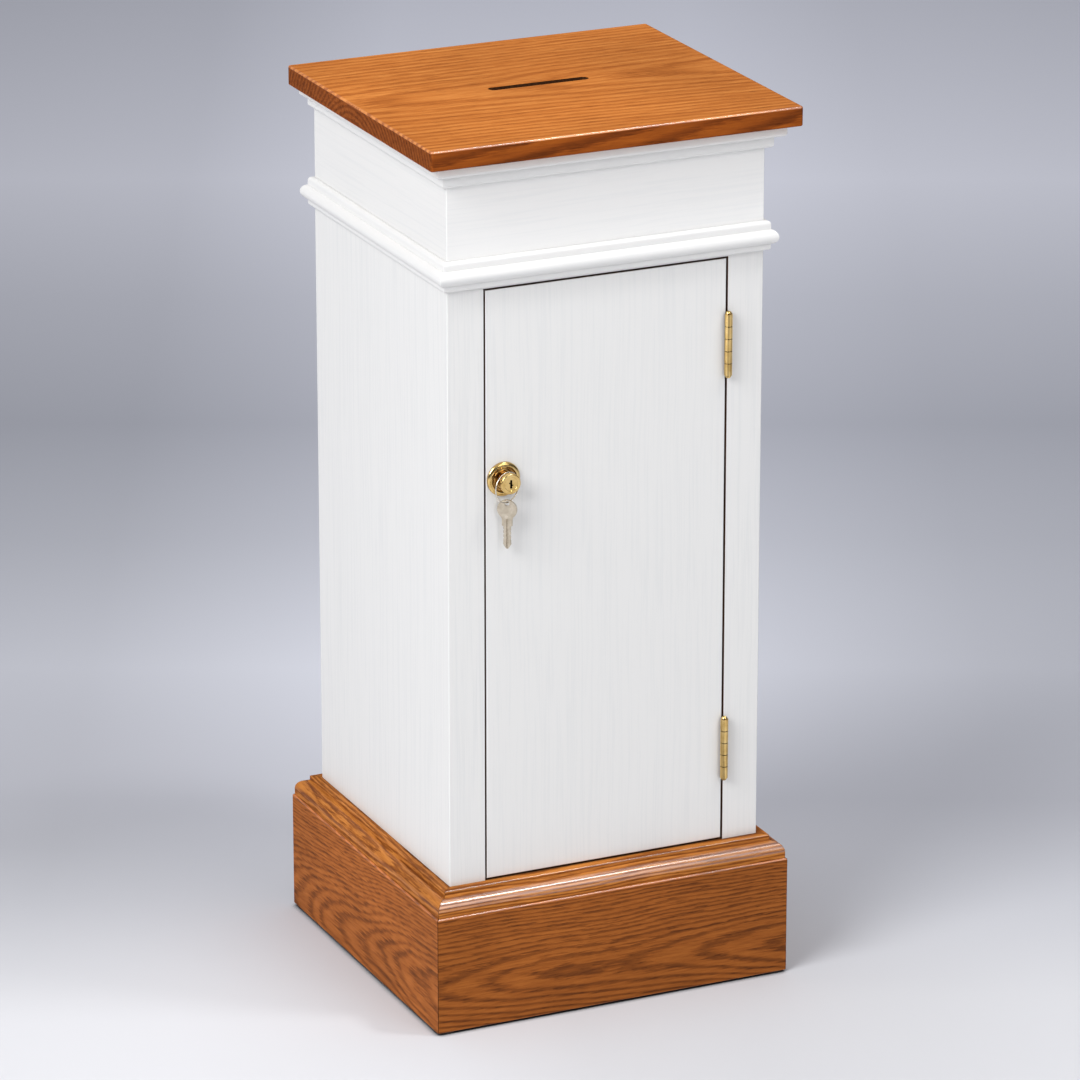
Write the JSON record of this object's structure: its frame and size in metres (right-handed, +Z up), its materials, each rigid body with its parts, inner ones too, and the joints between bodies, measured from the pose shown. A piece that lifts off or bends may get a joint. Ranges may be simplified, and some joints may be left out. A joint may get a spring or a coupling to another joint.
{
  "type": "tithe box",
  "caption": "Floor-standing wooden tithe box with a slotted lid, a hinged and locked front door and a moulded plinth.",
  "frame": {"origin": "on the floor under the middle of the footprint", "axes": "+Z up, -Y out of the front with the door, +X to the right seen from the front"},
  "size_m": [0.396, 0.378, 0.914],
  "materials": {
    "oak_lid": "stained and satin lacquered oak",
    "oak_plinth": "stained and lacquered oak with a dark grain",
    "white_paint": "white satin paint over a faint wood grain",
    "bare_wood": "planed bare softwood",
    "felt": "dark felt",
    "polished_brass": "polished brass",
    "steel_screw": "plated steel",
    "nickel_silver": "worn nickel silver"
  },
  "bodies": {
    "root": {"back_panel": "white_paint", "base_cap_back": "oak_plinth", "base_cap_front": "oak_plinth", "base_cap_left": "oak_plinth", "base_cap_right": "oak_plinth", "bead_back": "white_paint", "bead_front": "white_paint", "bead_left": "white_paint", "bead_right": "white_paint", "bottom_cleat_left": "bare_wood", "bottom_cleat_right": "bare_wood", "bottom_panel": "bare_wood", "crown_front": "white_paint", "crown_left": "white_paint", "crown_right": "white_paint", "door_stop": "bare_wood", "frieze_back": "white_paint", "frieze_front": "white_paint", "frieze_left": "white_paint", "frieze_right": "white_paint", "glides": "felt", "hinge_frame_screws": "polished_brass", "lid": "oak_lid", "lid_cleat_left": "bare_wood", "lid_cleat_right": "bare_wood", "lid_screws": "steel_screw", "lower_hinge_frame_leaf": "polished_brass", "lower_hinge_pin": "polished_brass", "lower_rail": "white_paint", "plinth_back": "oak_plinth", "plinth_front": "oak_plinth", "plinth_left": "oak_plinth", "plinth_right": "oak_plinth", "side_panel_left": "white_paint", "side_panel_right": "white_paint", "stile_left": "white_paint", "stile_right": "white_paint", "top_rail": "white_paint", "upper_hinge_frame_leaf": "polished_brass", "upper_hinge_pin": "polished_brass"},
    "door": {"door_panel": "white_paint", "upper_hinge_door_leaf": "polished_brass", "lower_hinge_door_leaf": "polished_brass", "hinge_door_screws": "polished_brass", "lock_rosette": "polished_brass", "lock_housing": "polished_brass", "lock_nut": "polished_brass"},
    "plug": {"lock_plug": "polished_brass", "lock_cam": "steel_screw", "cam_screw": "steel_screw"},
    "key_ring": {"key_ring": "nickel_silver"},
    "key": {"key": "nickel_silver"}
  },
  "joints": [
    {"name": "door_hinge", "type": "hinge", "parent": "root", "child": "door", "pos_m": [0.1305, -0.1653, 0.46085], "axis": [0, 0, 1], "range_deg": [0, 175]},
    {"name": "lock_turn", "type": "hinge", "parent": "door", "child": "plug", "pos_m": [-0.111, -0.161, 0.5675], "axis": [0, 1, 0], "range_deg": [0, 90]},
    {"name": "ring_swing", "type": "hinge", "parent": "door", "child": "key_ring", "pos_m": [-0.111, -0.1705, 0.5675], "axis": [0, 1, 0], "range_deg": [-45, 45]},
    {"name": "key_swing", "type": "hinge", "parent": "key_ring", "child": "key", "pos_m": [-0.111, -0.1705, 0.5459], "axis": [0.9455, 0.3256, 0], "range_deg": [-60, 7]}
  ]
}
